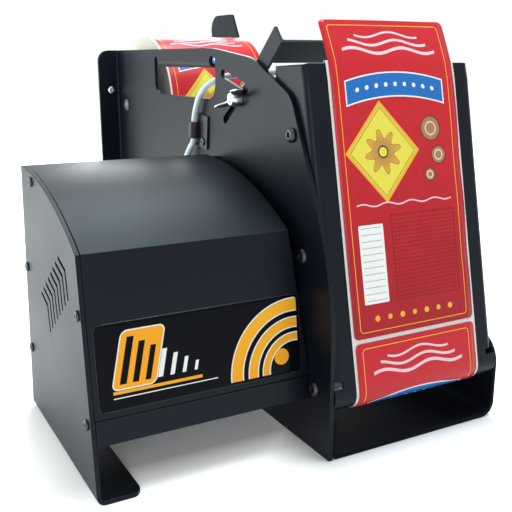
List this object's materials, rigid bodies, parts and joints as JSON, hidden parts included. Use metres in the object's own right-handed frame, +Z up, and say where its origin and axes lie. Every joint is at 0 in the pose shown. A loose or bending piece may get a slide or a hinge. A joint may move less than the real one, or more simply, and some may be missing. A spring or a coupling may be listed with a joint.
{
  "type": "label dispenser machine",
  "caption": "Tabletop label dispenser: black sheet-metal frame with a roll spindle, a leaning peel plate, sensor arm and motor housing that pulls the liner.",
  "frame": {"origin": "middle of the base channel's footprint, on the surface that it stands on", "axes": "+X across the machine from the motor housing to the roll's open end, +Y from the peel plate at the front to the roll at the back, +Z up"},
  "size_m": [0.3599, 0.5017, 0.347],
  "materials": {
    "black_powder_coat": "satin powder coat",
    "black_plastic": "moulded, fine texture",
    "black_nylon": "satin nylon",
    "bright_steel": "machined",
    "bright_zinc": "bright zinc plate",
    "black_screw": "black oxide",
    "cast_alloy": "as cast",
    "sintered_bronze": "sintered bronze, matt",
    "black_rubber": "ground rubber",
    "liner_paper": "silicone-coated paper",
    "red_label": "glossy printed film",
    "core_card": "wound card",
    "grey_lead": "soft jacket",
    "green_board": "solder resist"
  },
  "bodies": {
    "machine": {"base_channel": "black_powder_coat", "base_screw_1": "bright_zinc", "base_screw_2": "bright_zinc", "bush_left": "sintered_bronze", "bush_right": "sintered_bronze", "cable_clamp": "black_nylon", "cable_gland": "black_nylon", "clamp_screw": "black_screw", "control_board": "green_board", "drive_belt": "black_rubber", "end_plate": "black_powder_coat", "end_screw_1": "black_screw", "end_screw_2": "black_screw", "end_screw_3": "black_screw", "end_screw_4": "black_screw", "end_screw_5": "black_screw", "front_label": "red_label", "gearbox": "cast_alloy", "housing_cover": "black_powder_coat", "housing_tray": "black_powder_coat", "liner_web": "liner_paper", "main_side_plate": "black_powder_coat", "motor_bracket": "bright_steel", "motor_can": "bright_steel", "next_label": "red_label", "peel_plate": "black_powder_coat", "pinch_pivot": "bright_steel", "pinch_spring": "bright_steel", "plate_screw_1": "black_screw", "plate_screw_2": "black_screw", "plate_screw_3": "black_screw", "power_inlet": "black_plastic", "rear_panel": "black_powder_coat", "rear_screw": "bright_zinc", "roll_spindle": "bright_steel", "sensor_cable": "grey_lead", "speed_pot": "bright_steel", "spindle_bolt": "bright_steel", "stop_collar": "bright_steel", "supply_label": "red_label", "switch_bezel": "black_plastic", "transformer": "bright_steel"},
    "roll": {"label_roll": "red_label", "roll_core": "core_card", "roll_hub": "black_plastic"},
    "drive": {"drive_roller": "black_rubber", "drive_shaft": "bright_steel", "drive_pulley": "black_plastic"},
    "motor_output": {"motor_pulley": "black_plastic"},
    "pinch_arm": {"pinch_arm": "bright_zinc"},
    "pinch_roller": {"pinch_roller": "black_rubber"},
    "sensor_arm": {"sensor_arm": "black_powder_coat", "sensor_stud": "bright_zinc", "sensor_head": "black_plastic"},
    "wing_nut": {"wing_nut": "bright_zinc"},
    "roll_guide": {"roll_guide": "black_powder_coat"},
    "guide_thumbscrew": {"guide_thumbscrew": "black_plastic"},
    "power_switch": {"switch_rocker": "black_nylon"},
    "speed_knob": {"speed_knob": "black_plastic"}
  },
  "joints": [
    {"name": "roll_spin", "type": "hinge", "parent": "machine", "child": "roll", "pos_m": [-0.06335, 0.193, 0.244], "axis": [1, 0, 0], "continuous": true},
    {"name": "drive_spin", "type": "hinge", "parent": "machine", "child": "drive", "pos_m": [-0.08585, -0.169, 0.112], "axis": [1, 0, 0], "continuous": true},
    {"name": "motor_spin", "type": "hinge", "parent": "machine", "child": "motor_output", "pos_m": [-0.08585, -0.107, 0.096], "axis": [1, 0, 0], "continuous": true},
    {"name": "pinch_open", "type": "hinge", "parent": "machine", "child": "pinch_arm", "pos_m": [-0.08585, -0.138, 0.152], "axis": [1, 0, 0], "range_deg": [0, 12], "stiffness_Nm_per_rad": 0.5, "springref_deg": -11.46},
    {"name": "pinch_spin", "type": "hinge", "parent": "pinch_arm", "child": "pinch_roller", "pos_m": [-0.06785, -0.1451, 0.112], "axis": [1, 0, 0], "continuous": true},
    {"name": "sensor_slide", "type": "slide", "parent": "machine", "child": "sensor_arm", "axis": [0, -0.8218, 0.5698], "range_m": [-0.0325, 0.0145], "deforming": ["sensor_cable"]},
    {"name": "wing_nut_turn", "type": "hinge", "parent": "sensor_arm", "child": "wing_nut", "pos_m": [-0.08615, -0.08176, 0.26267], "axis": [-1, 0, 0], "range_deg": [0, 360]},
    {"name": "guide_slide", "type": "slide", "parent": "machine", "child": "roll_guide", "axis": [1, 0, 0], "range_m": [0, 0.018]},
    {"name": "thumbscrew_turn", "type": "hinge", "parent": "roll_guide", "child": "guide_thumbscrew", "pos_m": [0.07195, 0.193, 0.2613], "axis": [0, 0, 1], "range_deg": [0, 360]},
    {"name": "power_switch", "type": "hinge", "parent": "machine", "child": "power_switch", "pos_m": [-0.18985, -0.02906, 0.09171], "axis": [-1, 0, 0], "range_deg": [0, 24]},
    {"name": "speed_knob_turn", "type": "hinge", "parent": "machine", "child": "speed_knob", "pos_m": [-0.15785, -0.02378, 0.09223], "axis": [0, 0.9952, 0.0981], "range_deg": [-135, 135]}
  ],
  "couplings": [
    {"joint": "motor_spin", "follows": "drive_spin", "ratio": 1.3333},
    {"joint": "pinch_spin", "follows": "drive_spin", "ratio": -1.5556}
  ]
}
